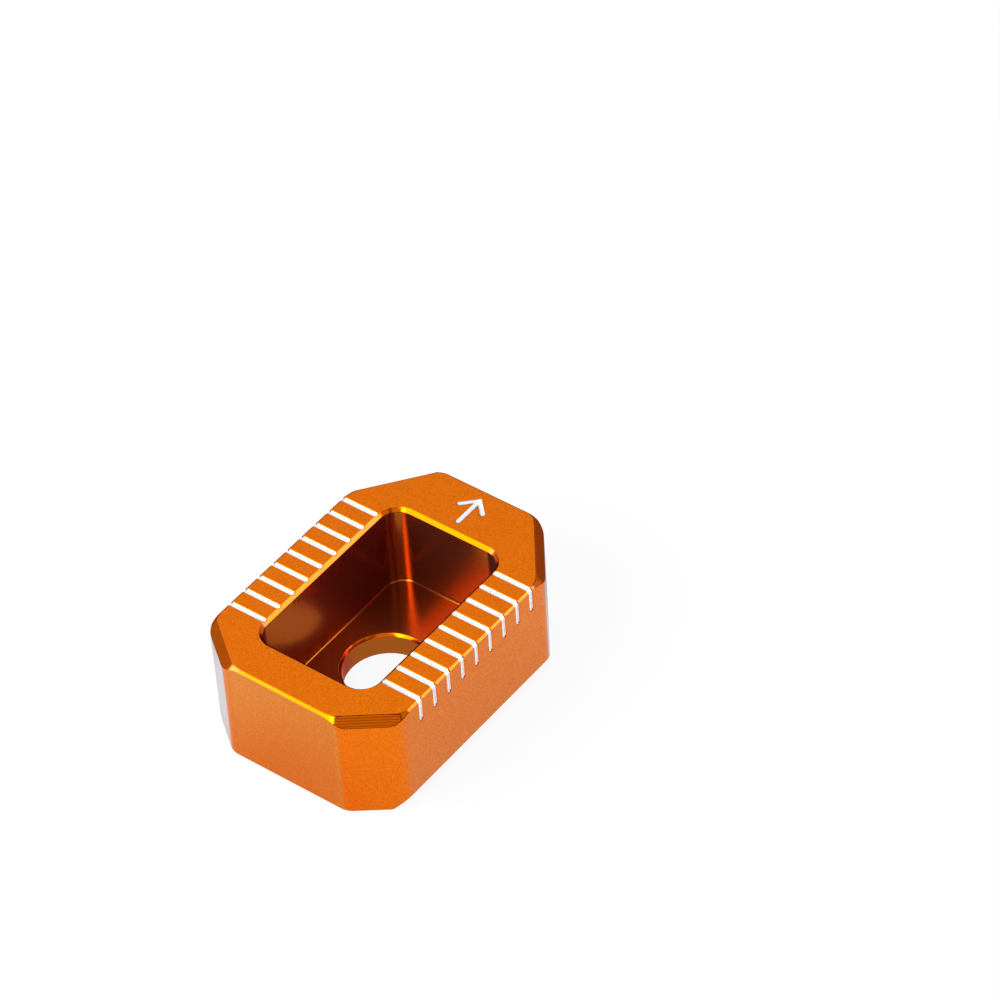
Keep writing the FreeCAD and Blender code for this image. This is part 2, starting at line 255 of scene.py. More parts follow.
# %% [markdown]
# ## The outer section
#
# On the outside the section is the place where several planes meet: the wall, the
# top, the small chamfer and, near a corner cut, the facet. A cutter leaves those
# edges sharp, but beads and tumbling soften them by a tenth of a millimetre, and that
# soft line is what catches the light. So the section is found as a level of one smooth
# function. The distance outside each plane goes through a log of a sum of
# exponentials, which is the largest distance away from an edge and a little more at
# one. A fan of rays from inside the wall meets that level, and bisection finds where.

# %% Distances in plan
CORNER_EASE = 0.39
EASE_SHARE = 0.39
ROOT2 = math.sqrt(2)


def fold(places):
    """Both sides of the block laid on +Y."""
    return np.stack([places[..., 0], np.abs(places[..., 1])], axis=-1)


def cut_distance(places, end_x, cut):
    """How far inside a corner cut's wall a place in plan lies, the same on both sides."""
    sign = math.copysign(1, end_x)
    normal = np.array([sign * cut[1], cut[0]]) / math.hypot(*cut)
    on_wall = np.array([end_x, HALF_WIDTH - cut[1]])
    return (on_wall - fold(places)) @ normal


def eased_lines(end_x, cut):
    """The short lines in plan that lead the cutter from a small chamfer into a facet, each
    as a point on it and its outward direction.

    Chamfer and facet would meet in the top at a corner. The line cuts that corner off at a
    distance of CORNER_EASE, and it is turned from the wall to the facet by EASE_SHARE of
    their angle.
    """
    sign = math.copysign(1, end_x)
    facet = math.atan2(cut[0], sign * cut[1])
    facet_out = np.array([math.cos(facet), math.sin(facet)])
    on_facet = facet_out @ (end_x, HALF_WIDTH - cut[1]) - CORNER_FACET
    lines = []
    for wall, reach in ((math.atan2(0.0, sign), abs(end_x)), (math.pi / 2, HALF_WIDTH)):
        wall_out = np.array([math.cos(wall), math.sin(wall)])
        meet = np.linalg.solve([wall_out, facet_out], [reach - TOP_CHAMFER, on_facet])
        turned = wall + EASE_SHARE * (facet - wall)
        out = np.array([math.cos(turned), math.sin(turned)])
        lines.append((meet - CORNER_EASE * out, out))
    return lines


print("eased lines beside the short cut, outward:", [
    out.round(2).tolist() for _, out in eased_lines(-SHORT_END, SHORT_CUT)
])


# %% The planes of the outside
def top_planes(places, depth, height):
    """Distance outside each plane that bounds the top of the outside: wall, top, chamfer,
    then each facet with the two eased lines beside it."""
    down = height - HEIGHT
    planes = [-depth, down, (down + TOP_CHAMFER - depth) / ROOT2]
    for end_x, cut in ((-SHORT_END, SHORT_CUT), (LONG_END, LONG_CUT)):
        planes.append((down + CORNER_FACET - cut_distance(places, end_x, cut)) / ROOT2)
        for point, out in eased_lines(end_x, cut):
            planes.append((down + (fold(places) - point) @ out) / ROOT2)
    return np.stack(planes)


def back_planes(places, depth, height):
    """Distance outside each plane that bounds the back of the outside."""
    side = HALF_WIDTH - np.abs(places[..., 1])
    return np.stack([
        -depth,
        -height,
        (EDGE_BREAK - depth - height) / ROOT2,
        (BACK_BEVEL - side - height) / ROOT2,
    ])


spot = np.zeros((1, 2)), np.zeros(1), np.zeros(1)
print("planes at the top and at the back:", len(top_planes(*spot)), len(back_planes(*spot)))


# %% Rays to a soft intersection
SOFTNESS = 0.038
FAN_DEPTH = 3.2
TOP_FAN_HEIGHT = 7.6
BACK_FAN_HEIGHT = 4.4
RAY_LENGTH = 12.0
HALVINGS = 34


def soft_largest(distances):
    """k log of the sum of exp(d / k): the largest distance, rounded where two are alike."""
    largest = distances.max(0)
    return largest + SOFTNESS * np.log(np.exp((distances - largest) / SOFTNESS).sum(0))


def fan(planes, depths, heights, start_height):
    """Where rays from (FAN_DEPTH, start_height) through the given points leave the solid, and
    how much each plane has a say there: its exp(d / k) over the sum of them all."""
    along_depth = depths - FAN_DEPTH
    along_height = heights - start_height
    reach = np.hypot(along_depth, along_height)
    step = np.stack([along_depth / reach, along_height / reach])

    def place(distance):
        """Plan, depth and height at a distance along each ray."""
        depth = FAN_DEPTH + distance * step[0]
        height = start_height + distance * step[1]
        plan = outline[:, None] + inward[:, None] * depth[..., None]
        return plan, depth, height

    near = np.zeros((len(outline), len(depths)))
    far = np.full_like(near, RAY_LENGTH)
    for _ in range(HALVINGS):
        middle = (near + far) / 2
        inside = soft_largest(planes(*place(middle))) < 0
        near = np.where(inside, middle, near)
        far = np.where(inside, far, middle)
    plan, depth, height = place(near)
    pull = planes(plan, depth, height)
    weight = np.exp((pull - pull.max(0)) / SOFTNESS)
    weight /= weight.sum(0)
    return np.concatenate([plan, height[..., None]], axis=-1), weight


print(f"an edge of two planes is worn by {soft_largest(np.zeros((2, 1)))[0]:.3f} mm")

# %% [markdown]
# The rays aim at points spread over a square corner. They are close where a chamfer, a
# facet or a bevel can lie, and at the lower end of the marks. Where a facet runs out in a
# wall its edge crosses the grid aslant, and only close lines keep that edge smooth.

# %% The two outer fans
drops = np.concatenate([
    np.linspace(0.03, 0.9, 10), np.linspace(1.05, 1.85, 5), np.linspace(1.95, 2.5, 6),
    [2.9, 3.6, 4.6, 5.2], np.linspace(5.4, 6.6, 9), [7.0, TOP_FAN_HEIGHT - 0.2],
])
insets = np.concatenate([
    np.linspace(0.05, 0.9, 10), np.linspace(1.05, 1.85, 5), np.linspace(1.95, 2.5, 6),
    [2.85, FAN_DEPTH],
])
wall_part, wall_weight = fan(
    top_planes,
    np.concatenate([np.zeros(len(drops)), insets]),
    HEIGHT - np.concatenate([drops[::-1], np.zeros(len(insets))]),
    HEIGHT - TOP_FAN_HEIGHT,
)
back_rises = np.concatenate([
    np.linspace(0.04, 0.45, 5), np.linspace(0.65, 2.9, 12), [3.6],
])
back_insets = np.insert(back_rises[-2::-1], 0, FAN_DEPTH)
back_part, back_weight = fan(
    back_planes,
    np.concatenate([back_insets, np.zeros(len(back_rises))]),
    np.concatenate([np.zeros(len(back_insets)), back_rises]),
    BACK_FAN_HEIGHT,
)
print("lines in the outer fans:", wall_part.shape[1], back_part.shape[1])

# %% [markdown]
# ## The pocket and the bore
#
# The inside is simpler, because each edge there is the same all the way round. One
# profile is carried along the pocket's edge: its points are how far out from the
# pocket's wall and how high they lie, with a short arc at each corner. The bore is the same
# with a circle for its path, and flat rings join the two.

# %% Profiles and how they are carried
RIM_ZONE = 1.0


def soften(corners, radius, steps=3):
    """A profile with an arc at each inner corner: each arc leaves its runs at
    radius times tan(turn / 2) from the corner."""
    corners = np.asarray(corners, float)
    out = [corners[:1]]
    for before, corner, after in zip(corners, corners[1:], corners[2:]):
        arrive = (corner - before) / np.linalg.norm(corner - before)
        leave = (after - corner) / np.linalg.norm(after - corner)
        turn = math.acos(np.clip(arrive @ leave, -1, 1))
        side = math.copysign(1, arrive[0] * leave[1] - arrive[1] * leave[0])
        start = corner - arrive * radius * math.tan(turn / 2)
        centre = start + side * radius * np.array([-arrive[1], arrive[0]])
        angles = side * np.linspace(0, turn, steps + 1)[:, None]
        spoke = start - centre
        turned = np.array([-spoke[1], spoke[0]])
        out.append(centre + np.cos(angles) * spoke + np.sin(angles) * turned)
    return np.concatenate(out + [corners[-1:]])


def carried(path, directions, profile):
    """The profile carried along a path: place plus first coordinate times direction, at
    the height of the second."""
    plan = path[:, None] + directions[:, None] * profile[None, :, :1]
    height = np.broadcast_to(profile[None, :, 1:], plan.shape[:2] + (1,))
    return np.concatenate([plan, height], axis=-1)


def ruled(first, last, count):
    """count lines between two rings, evenly spaced, without the rings themselves."""
    share = np.linspace(0, 1, count + 2)[1:-1][None, :, None]
    return first[:, None] * (1 - share) + last[:, None] * share


def divided(profile, longest, longest_low):
    """The profile with each step shared out, so that none is longer than longest near the
    top and longest_low further down."""
    out = []
    for first, last in zip(profile, profile[1:]):
        limit = longest if min(first[1], last[1]) > HEIGHT - RIM_ZONE else longest_low
        count = max(1, math.ceil(np.linalg.norm(last - first) / limit))
        out.append(first + np.linspace(0, 1, count, endpoint=False)[:, None] * (last - first))
    return np.concatenate(out + [profile[-1:]])


print("points on a soft corner:", len(soften([(0, 0), (1, 0), (1, 1)], 0.1)) - 2)

# %% The pocket and the bore
SOFT_RADIUS = 0.16
BORE_SOFT_RADIUS = 0.1
RIM_START = 1.7
FLOOR_FLAT = 1.0
BORE_FLAT = 0.6
pocket_profile = soften([
    (RIM_START, HEIGHT), (RIM_CHAMFER, HEIGHT), (0, HEIGHT - RIM_CHAMFER),
    (0, FLOOR + FLOOR_CORNER), (-FLOOR_CORNER, FLOOR), (-FLOOR_FLAT, FLOOR),
], SOFT_RADIUS)
pocket_profile = divided(pocket_profile, longest=0.2, longest_low=4.0)
pocket_part = carried(rim, outward, pocket_profile)

bearing = np.arctan2(rim[:, 1], rim[:, 0])
around = np.column_stack([np.cos(bearing), np.sin(bearing)])
bore_profile = soften([
    (BORE_RADIUS + BORE_CHAMFER + BORE_FLAT, FLOOR), (BORE_RADIUS + BORE_CHAMFER, FLOOR),
    (BORE_RADIUS, FLOOR - BORE_CHAMFER), (BORE_RADIUS, 0), (BORE_RADIUS + BORE_FLAT, 0),
], BORE_SOFT_RADIUS)
bore_part = carried(np.zeros_like(rim), around, bore_profile)
print("lines in the pocket and the bore:", pocket_part.shape[1], bore_part.shape[1])

# %% [markdown]
# ## The marks and the arrow
#
# The engraving is a shallow groove with a flat bottom and round ends, cut by a small end
# mill. Its depth comes from the distance to its middle line. For a mark that line bends
# over the edge, and the distance is one formula for top, chamfer and side: across, the
# distance in x to the nearest mark; along, only what lies past either end. A plain arrow
# on the wide end shows the way that the block is moved, and is three straight strokes.

# %% Distance to the engraving
MARK_INNER = POCKET_HALF[1] + RIM_CHAMFER - MARK_DEPTH + MARK_WIDTH / 2
MARK_LOWER = HEIGHT - MARK_DROP + MARK_WIDTH / 2
ARROW_TAIL = (28.6, 0.0)
ARROW_TIP = (36.6, 0.0)
ARROW_BARB = (3.2, 3.2)
ARROW_WIDTH = 1.3
GROOVE_WALL = 0.12
ARROW_WALL = 0.25
STROKE_REACH = 0.4
FAR = 100


def mark_distance(points):
    """Distance from each point to the middle line of the nearest mark."""
    x, y, z = points[..., 0], np.abs(points[..., 1]), points[..., 2]
    number = np.clip(np.round(x / MARK_PITCH), -(MARKS - 1) / 2, (MARKS - 1) / 2)
    across = x - number * MARK_PITCH
    past_inner = np.maximum(MARK_INNER - y, 0)
    past_lower = np.maximum(MARK_LOWER - z, 0)
    return np.sqrt(across**2 + past_inner**2 + past_lower**2)


def stroke_distance(points, start, end):
    """Distance in plan to a straight stroke, far away for what isn't on the top."""
    start, end = np.array(start), np.array(end)
    way = end - start
    share = np.clip((points[..., :2] - start) @ way / (way @ way), 0, 1)
    gap = np.linalg.norm(points[..., :2] - start - share[..., None] * way, axis=-1)
    return gap + FAR * np.maximum(HEIGHT - STROKE_REACH - points[..., 2], 0)


print(f"marks reach down to z = {HEIGHT - MARK_DROP:.1f} mm and in to y = {MARK_INNER:.2f} mm")

# %% [markdown]
# ## The mesh
#
# Flat rings fill the gaps between the outer fans, the pocket and the bore. The land
# round the pocket has many lines, because the marks end on it, and the others need few.
# All lines are then put side by side in the order of the section. The grid wraps round
# both ways, so it is closed.
#
# Each point also keeps some numbers for the material: whether it was milled after the
# beads, whether it lies in the pocket or the bore, and how much the cutter's passes show
# on it. They show in full on the facet at the near right, and faintly on the pocket's
# walls.

# %% Rings between the parts
LAND_LINES = 36
FLAT_LINES = 2
land_part = ruled(wall_part[:, -1], pocket_part[:, 0], LAND_LINES)
floor_part = ruled(pocket_part[:, -1], bore_part[:, 0], FLAT_LINES)
under_part = ruled(bore_part[:, -1], back_part[:, 0], 1)
middle_part = ruled(back_part[:, -1], wall_part[:, 0], FLAT_LINES)
print("lines of the land:", land_part.shape[1])

# %% Numbers of the parts
FAINT_PASSES = 0.35
# A margin in millimetres that keeps a mask off its neighbour's edge.
HAIR = 0.02


def plain(part, *values):
    """One number all over a part, for each of the values."""
    return [np.full(part.shape[:2], float(value)) for value in values]


def along_profile(part, values):
    """One number for each line of a part, the same at every station."""
    return np.broadcast_to(np.asarray(values, float), part.shape[:2])


out, up = pocket_profile.T
pocket_milled = along_profile(pocket_part, out < RIM_CHAMFER - HAIR)
pocket_deep = along_profile(pocket_part, up < HEIGHT - RIM_CHAMFER - HAIR)
on_wall = (up > FLOOR + FLOOR_CORNER + 5 * HAIR) & (up < HEIGHT - RIM_CHAMFER - 5 * HAIR)
pocket_striped = along_profile(pocket_part, FAINT_PASSES * on_wall)

up = bore_profile[:, 1]
on_chamfer = (up < FLOOR - HAIR / 10) & (up > FLOOR - BORE_CHAMFER - HAIR)
bore_milled = along_profile(bore_part, up > 2 * HAIR)
bore_deep = along_profile(bore_part, (up > 2 * HAIR) & ~on_chamfer)
near_right_facet = wall_weight[3] * (wall_part[..., 1] < 0)
print("lines of the pocket in its own finish:", int(pocket_deep[0].sum()))

# %% Put the parts side by side
# Each row: the part, how much it is milled, how deep in a hole, how much passes show.
parts = [
    (under_part, *plain(under_part, 0, 0, 0)),
    (back_part, back_weight[2:].sum(0), *plain(back_part, 0, 0)),
    (middle_part, *plain(middle_part, 0, 0, 0)),
    (wall_part, wall_weight[2:].sum(0), *plain(wall_part, 0), near_right_facet),
    (land_part, *plain(land_part, 0, 0, 0)),
    (pocket_part, pocket_milled, pocket_deep, pocket_striped),
    (floor_part, *plain(floor_part, 1, 1, 0)),
    (bore_part, bore_milled, bore_deep, *plain(bore_part, 0)),
]
grid, milled, deep, striped = (np.concatenate(column, axis=1) for column in zip(*parts))
print("stations and lines of the grid:", grid.shape[:2])

# %% [markdown]
# The grooves are pressed into the finished grid: each point moves inwards along its
# normal by the groove's depth there. Beside the pocket the rim is so near that points
# would slide past each other, so they only sink straight down. The normals also tell
# which points lie on the two flat ends: there they point along X.


# %% Press the engraving in
def grid_normals(points):
    """Unit normals of a grid that wraps both ways: the cross product of the steps
    between the neighbours before and after, in each direction."""
    along = np.roll(points, -1, 0) - np.roll(points, 1, 0)
    over = np.roll(points, -1, 1) - np.roll(points, 1, 1)
    normal = np.cross(along, over)
    return normal / np.maximum(np.linalg.norm(normal, axis=-1, keepdims=True), 1e-9)


# The flat ends get painted reflection in the colour, and these two numbers find them by their
# normals.
END_FACE_FROM = 0.94
END_FACE_SPAN = 0.05
barbs = [(ARROW_TIP[0] - ARROW_BARB[0], side * ARROW_BARB[1]) for side in (-1, 1)]
arrow = np.minimum.reduce([
    stroke_distance(grid, ARROW_TIP, end) for end in [ARROW_TAIL, *barbs]
])
mark_inside = MARK_WIDTH / 2 - mark_distance(grid)
arrow_inside = ARROW_WIDTH / 2 - arrow
engraving = np.maximum(mark_inside, arrow_inside)
groove_depth = MARK_DEPTH * np.maximum(
    np.clip(mark_inside / GROOVE_WALL, 0, 1), np.clip(arrow_inside / ARROW_WALL, 0, 1)
)
normals = grid_normals(grid)
end_face = np.clip((np.abs(normals[..., 0]) - END_FACE_FROM) / END_FACE_SPAN, 0, 1)
near_pocket = np.abs(grid[..., 1]) < MARK_INNER - MARK_WIDTH / 4
straight_down = np.minimum(grid[..., 2], HEIGHT - groove_depth)
sunk = grid - normals * groove_depth[..., None]
grid[..., 2] = np.where(near_pocket, straight_down, grid[..., 2])
grid = np.where(near_pocket[..., None], grid, sunk)
print(f"deepest groove {groove_depth.max():.2f} mm")

# %% [markdown]
# Each square of the grid becomes one face. The order of its corners says which way it
# looks: with it right, the small volumes between the faces and the origin add up to the
# block's own volume, and with it wrong they add up to less than nothing.


# %% Faces that point outwards
def grid_faces(rows, columns):
    """Four corners of each square of a grid that wraps both ways."""
    index = np.arange(rows * columns).reshape(rows, columns)
    right = np.roll(index, -1, 0)
    square = [index, right, np.roll(right, -1, 1), np.roll(index, -1, 1)]
    return np.stack(square, axis=-1).reshape(-1, 4)


faces = grid_faces(*grid.shape[:2])
a, b, c, d = grid.reshape(-1, 3)[faces].transpose(1, 0, 2)
volume = (a * (np.cross(b, c) + np.cross(c, d))).sum() / 6
print(f"faces {len(faces)}, volume {volume / 1000:.2f} cm3")
if volume < 0:
    raise RuntimeError("the block is inside out")

# %% [markdown]
# The mesh takes the points, the faces and the numbers as they are. It rides on the CAD
# model's body and stands in for its node. Smooth shading alone would bend the light over
# the flats beside a soft edge, so a Weighted Normal modifier lets the large faces decide.


# %% The mesh and its numbers
def store(mesh, name, values):
    """Keeps one number for each point of the mesh."""
    attribute = mesh.attributes.new(name, "FLOAT", "POINT")
    attribute.data.foreach_set("value", values.astype(np.float32).ravel())


FLATNESS = 60
numbers = {
    "milled": milled, "engraving": np.clip(engraving, -1, 1), "pocket": deep,
    "striped": striped, "end_face": end_face,
}
mesh = bpy.data.meshes.new("axle_block_body")
mesh.from_pydata((grid.reshape(-1, 3) * MM).tolist(), [], faces.tolist())
mesh.polygons.foreach_set("use_smooth", np.ones(len(faces), bool))
for name, values in numbers.items():
    store(mesh, name, values)
mesh.validate()
block = bpy.data.objects.new("axle_block_body", mesh)
bpy.context.scene.collection.objects.link(block)
weighted = block.modifiers.new("flat faces stay flat", "WEIGHTED_NORMAL")
weighted.mode = "FACE_AREA"
weighted.weight = FLATNESS
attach(block, "root")
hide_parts(BLOCK)
print("box of the mesh:", grid.min((0, 1)).round(3), grid.max((0, 1)).round(3))

# %% [markdown]
# ## The finish
#
# Anodised aluminium is metal under a thin, clear layer of oxide that holds a dye, so it
# reflects in colour, and a metal shader with the dye's colour gives that. Three things
# tell the finishes apart. Blasted faces are rough at the scale of a bead and look satin.
# Milled faces are smooth and mirror what is around them. The engraving is bare metal.
# All three are one surface, so they share one shader, whose colour, gloss and bump
# change with the numbers that each point of the mesh keeps.
#
# The orange also changes as the eye comes lower, and that change is painted reflection: the
# oxide throws the white of the card and the lamps back before the light reaches the dye, and
# that white is painted into the colour. It turns tan on a flat end seen aslant, paler on any
# face seen further aslant and pale at a low angle. So most finishes have more than one colour.

# %% Colours
BLASTED_ORANGE = "EE7C00"
# Painted reflection: a tan for a flat end seen aslant, the white of the card thrown back.
BLASTED_END_REFLECTION_PAINT = "DB9437"
# Painted reflection: a paler orange for a face seen further aslant.
BLASTED_SIDE_REFLECTION_PAINT = "E37F12"
# Painted reflection: the pale of a face seen at a low angle, where the white card shows.
GRAZING_REFLECTION_PAINT = "C4BFC1"
BEAD_SHADE = "B02802"
MILLED_ORANGE = "DC6402"
# Painted reflection: the peach of a milled face seen a little aslant.
MILLED_REFLECTION_PAINT = "DC6A2C"
MILLED_GRAZING = "DC9448"
# Painted shade: a darker orange for the milled walls and floor of the pocket and the bore's wall.
POCKET_SHADE_PAINT = "A05410"
CUTTER_SHADE = "7A2E02"
BARE_METAL = "F0F7FC"
BARE_SHADE = "C4D0D8"
OXIDE_VEIL = "A0C8FF"
CLEAR = "FFFFFF"


def linear(code):
    """An sRGB hex colour as linear values: each channel plus 0.055, over 1.055, to the power
    2.4, and a straight line for the darkest."""
    channels = [int(code[i:i + 2], 16) / 255 for i in (0, 2, 4)]
    return [c / 12.92 if c <= 0.04045 else ((c + 0.055) / 1.055) ** 2.4 for c in channels] + [1.0]


print("blasted orange, linear:", [round(value, 3) for value in linear(BLASTED_ORANGE)[:3]])


# %% A helper for nodes
def add(tree, kind, settings=None, output=0):
    """Adds a node and gives back one of its outputs.

    settings names its properties and its sockets, which may also go by number. The output
    of another node is linked to a socket, and any other value is written into it.
    """
    node = tree.nodes.new("ShaderNode" + kind)
    for name, value in (settings or {}).items():
        if isinstance(name, str) and hasattr(node, name):
            setattr(node, name, value)
        elif isinstance(value, bpy.types.NodeSocket):
            tree.links.new(value, node.inputs[name])
        else:
            node.inputs[name].default_value = value
    return node.outputs[output] if node.outputs else None


def new_material(name):
    """A material with an empty node tree."""
    material = bpy.data.materials.new(name)
    material.use_nodes = True
    material.node_tree.nodes.clear()
    return material, material.node_tree


anodised, finish = new_material("anodised_aluminium_blasted_and_milled")
print("material:", anodised.name)

# %% [markdown]
# Two patterns make the surface. The beads leave pits, and a real one is about a tenth of
# a millimetre wide, too fine for a picture of this size, so the pits are drawn 0.28 mm
# wide to show at all. The cutter leaves a line at each pass, here 0.42 mm apart, one
# above another on a milled wall. A wave texture of scale 1 repeats every 0.314 m, and
# a noise texture of scale 1 has spots about 1 m wide, which gives both scales.

# %% Numbers from the mesh, the angle of view and the patterns
BEAD_MM = 0.28
CUTTER_LINE_MM = 0.42
WAVE_LENGTH = 0.314

place = add(finish, "TexCoord", output="Object")
at = {
    name: add(finish, "Attribute", {"attribute_name": name}, "Fac")
    for name in ("milled", "engraving", "pocket", "striped", "end_face")
}
at["facing"] = add(finish, "LayerWeight", {"Blend": 0.5}, "Facing")
at["beads"] = add(finish, "TexNoise", {
    "Vector": place, "Scale": 1 / (BEAD_MM * MM), "Detail": 3.0, "Roughness": 0.7,
}, "Fac")
at["lines"] = add(finish, "TexWave", {
    "Vector": place, "wave_type": "BANDS", "bands_direction": "Z",
    "Scale": WAVE_LENGTH / (CUTTER_LINE_MM * MM),
    "Distortion": 0.8, "Detail": 2.0, "Detail Scale": 0.4,
}, "Fac")
print("the shader reads", sorted(at))

# %% [markdown]
# Masks choose between the finishes. Each row of the first table turns one number into a
# mask: it names what it reads, where the mask begins and ends, and its value at both.
# Facing is 1 less the cosine of the angle between the eye and the face's normal, and
# engraving is how far inside a groove's edge a point lies, in millimetres, so the bare
# metal begins a little way inside the groove. The rows of the second table multiply two
# of them.

# %% Masks
RANGES = {
    "is_milled": ("milled", 0.4, 0.6, 0.0, 1.0),
    "is_pocket": ("pocket", 0.4, 0.6, 0.0, 1.0),
    "is_engraved": ("engraving", 0.07, 0.12, 0.0, 1.0),
    "groove_middle": ("engraving", 0.3, 0.5, 0.0, 1.0),
    # These five rows choose, by the angle of view, where reflection is painted into the colour.
    "end_angle": ("facing", 0.37, 0.43, 0.0, 1.0),
    "side_angle": ("facing", 0.48, 0.52, 0.0, 1.0),
    "pale_angle": ("facing", 0.74, 0.82, 0.0, 1.0),
    "bright_from": ("facing", 0.13, 0.19, 0.0, 1.0),
    "bright_until": ("facing", 0.3, 0.5, 1.0, 0.0),
    "pits": ("beads", 0.4, 0.6, 0.42, 0.0),
    "specks": ("beads", 0.5, 0.62, 0.0, 1.0),
    "furrows": ("lines", 0.15, 0.85, 0.6, 0.0),
}
PRODUCTS = {
    "aslant_end": ("end_angle", "end_face"),
    "aslant_bright": ("bright_from", "bright_until"),
    "cutter_rows": ("furrows", "striped"),
    "chatter": ("specks", "groove_middle"),
    "passes": ("lines", "striped"),
}
for name, (source, start, end, first, last) in RANGES.items():
    at[name] = add(finish, "MapRange", {
        "Value": at[source], "From Min": start, "From Max": end, "To Min": first, "To Max": last,
    })
for name, (first, second) in PRODUCTS.items():
    at[name] = add(finish, "Math", {"operation": "MULTIPLY", 0: at[first], 1: at[second]})
print("masks:", len(RANGES) + len(PRODUCTS))

# %% [markdown]
# The colour is built as a painter lays glazes, one over another. Each row says which
# colour it makes, the mask, what lies under the mask and what goes on where it is 1. The
# gloss tint colours a metal's reflections at a low angle.

# %% Colour, layer by layer
COLOUR_LAYERS = [
    # painted reflection on a flat end seen aslant
    ("satin", "aslant_end", BLASTED_ORANGE, BLASTED_END_REFLECTION_PAINT),
    # painted reflection on a face seen further aslant
    ("satin", "side_angle", "satin", BLASTED_SIDE_REFLECTION_PAINT),
    ("satin", "pits", "satin", BEAD_SHADE),
    # painted reflection on a face seen at a low angle
    ("satin", "pale_angle", "satin", GRAZING_REFLECTION_PAINT),
    # painted reflection on a milled face seen a little aslant
    ("bright", "aslant_bright", MILLED_ORANGE, MILLED_REFLECTION_PAINT),
    # painted shade in the pocket and the bore
    ("bright", "is_pocket", "bright", POCKET_SHADE_PAINT),
    ("bright", "cutter_rows", "bright", CUTTER_SHADE),
    ("bare", "chatter", BARE_METAL, BARE_SHADE),
    ("colour", "is_milled", "satin", "bright"),
    ("colour", "is_engraved", "colour", "bare"),
    ("gloss_tint", "is_milled", CLEAR, MILLED_GRAZING),
]
for name, mask, under, over in COLOUR_LAYERS:
    under, over = (at[side] if side in at else linear(side) for side in (under, over))
    at[name] = add(finish, "Mix", {"data_type": "RGBA", 0: at[mask], 6: under, 7: over}, 2)
print("layers of colour:", len(COLOUR_LAYERS))

# %% [markdown]
# Gloss is laid the same way, with numbers. Blasted aluminium has a roughness about 0.4,
# and milled aluminium less than 0.2. In the pocket the oxide has its own weak haze, which
# is the coat. A very thin blue sheen stands for the oxide's veil, and shows only on the
# darkest walls. The bump is 0.02 mm high at most: pits on the blasted faces, passes of
# the cutter on the milled ones.

# %% Gloss, bump and shader
NUMBER_LAYERS = [
    ("bright_roughness", "is_pocket", 0.16, 0.19),
    ("roughness", "is_milled", 0.4, "bright_roughness"),
    ("roughness", "is_engraved", "roughness", 0.26),
    ("metallic", "is_pocket", 1.0, 0.93),
    ("metallic", "is_engraved", "metallic", 0.75),
    ("haze", "is_pocket", 0.0, 0.18),
    ("height", "is_milled", "beads", "passes"),
]
HAZE_ROUGHNESS = 0.45
VEIL_WEIGHT = 0.024
VEIL_ROUGHNESS = 0.5
BUMP_MM = 0.02
BUMP_STRENGTH = 0.25

for name, mask, under, over in NUMBER_LAYERS:
    under, over = (at.get(side, side) for side in (under, over))
    at[name] = add(finish, "Mix", {"data_type": "FLOAT", 0: at[mask], 2: under, 3: over})
bump = add(finish, "Bump", {
    "Strength": BUMP_STRENGTH, "Distance": BUMP_MM * MM, "Height": at["height"],
})
surface = add(finish, "BsdfPrincipled", {
    "Base Color": at["colour"], "Roughness": at["roughness"], "Metallic": at["metallic"],
    "Specular Tint": at["gloss_tint"], "Normal": bump,
    "Coat Weight": at["haze"], "Coat Roughness": HAZE_ROUGHNESS,
    "Sheen Weight": VEIL_WEIGHT, "Sheen Roughness": VEIL_ROUGHNESS,
    "Sheen Tint": linear(OXIDE_VEIL),
})
add(finish, "OutputMaterial", {"Surface": surface})
mesh.materials.append(anodised)
print("nodes in the finish:", len(finish.nodes))

# %% [markdown]
# ## The studio
#
# The block stands on a white card, and the metal shows what is around it, so the card
# takes part in the look. The eye sees it as plain white. The metal's gloss sees it
# a little brighter away from the block and dim far off and behind, where the light of
# the room doesn't reach. Beside the short end it is warm, because the orange block
# throws its colour on it. An emission that depends on the kind of ray gives all that.

# %% The white card
CARD = "F2F2F2"
CARD_PLAIN = "FEFEFE"
CARD_WARM = "F8CFA2"
CARD_GLOW = 0.92
SHORT_END_SPOT = (-38 * MM, 0, 0)
# What it reads, where it begins and ends in millimetres, and its value at both.
CARD_RANGES = {
    "by_the_block": ("from_middle", 30, 70, 1.02, 1.19),
    "far_off": ("from_middle", 350, 800, 1.0, 0.35),
    "behind": ("backward", 15, 45, 1.0, 0.38),
    "beside": ("from_short_end", 10, 32, 1.0, 0.0),
}
white_card, card = new_material("white_card")
place = add(card, "TexCoord", output="Object")
to_camera = add(card, "LightPath", output="Is Camera Ray")
to_gloss = add(card, "LightPath", output="Is Glossy Ray")
seen = {
    "from_middle": add(card, "VectorMath", {
        "operation": "DISTANCE", 0: place, 1: (0, 0, 0),
    }, "Value"),
    "from_short_end": add(card, "VectorMath", {
        "operation": "DISTANCE", 0: place, 1: SHORT_END_SPOT,
    }, "Value"),
    "backward": add(card, "VectorMath", {
        "operation": "DOT_PRODUCT", 0: place, 1: (1, 1, 0),
    }, "Value"),
}
for name, (source, start, end, first, last) in CARD_RANGES.items():
    seen[name] = add(card, "MapRange", {
        "Value": seen[source], "From Min": start * MM, "From Max": end * MM,
        "To Min": first, "To Max": last,
    })
lit = seen["by_the_block"]
for name in ("far_off", "behind"):
    lit = add(card, "Math", {"operation": "MULTIPLY", 0: lit, 1: seen[name]})
warm = add(card, "Math", {"operation": "MULTIPLY", 0: seen["beside"], 1: to_gloss})
glow_colour = add(card, "Mix", {
    "data_type": "RGBA", 0: warm, 6: linear(CARD_PLAIN), 7: linear(CARD_WARM),
}, 2)
strength = add(card, "Mix", {"data_type": "FLOAT", 0: to_camera, 2: lit, 3: 1.0})
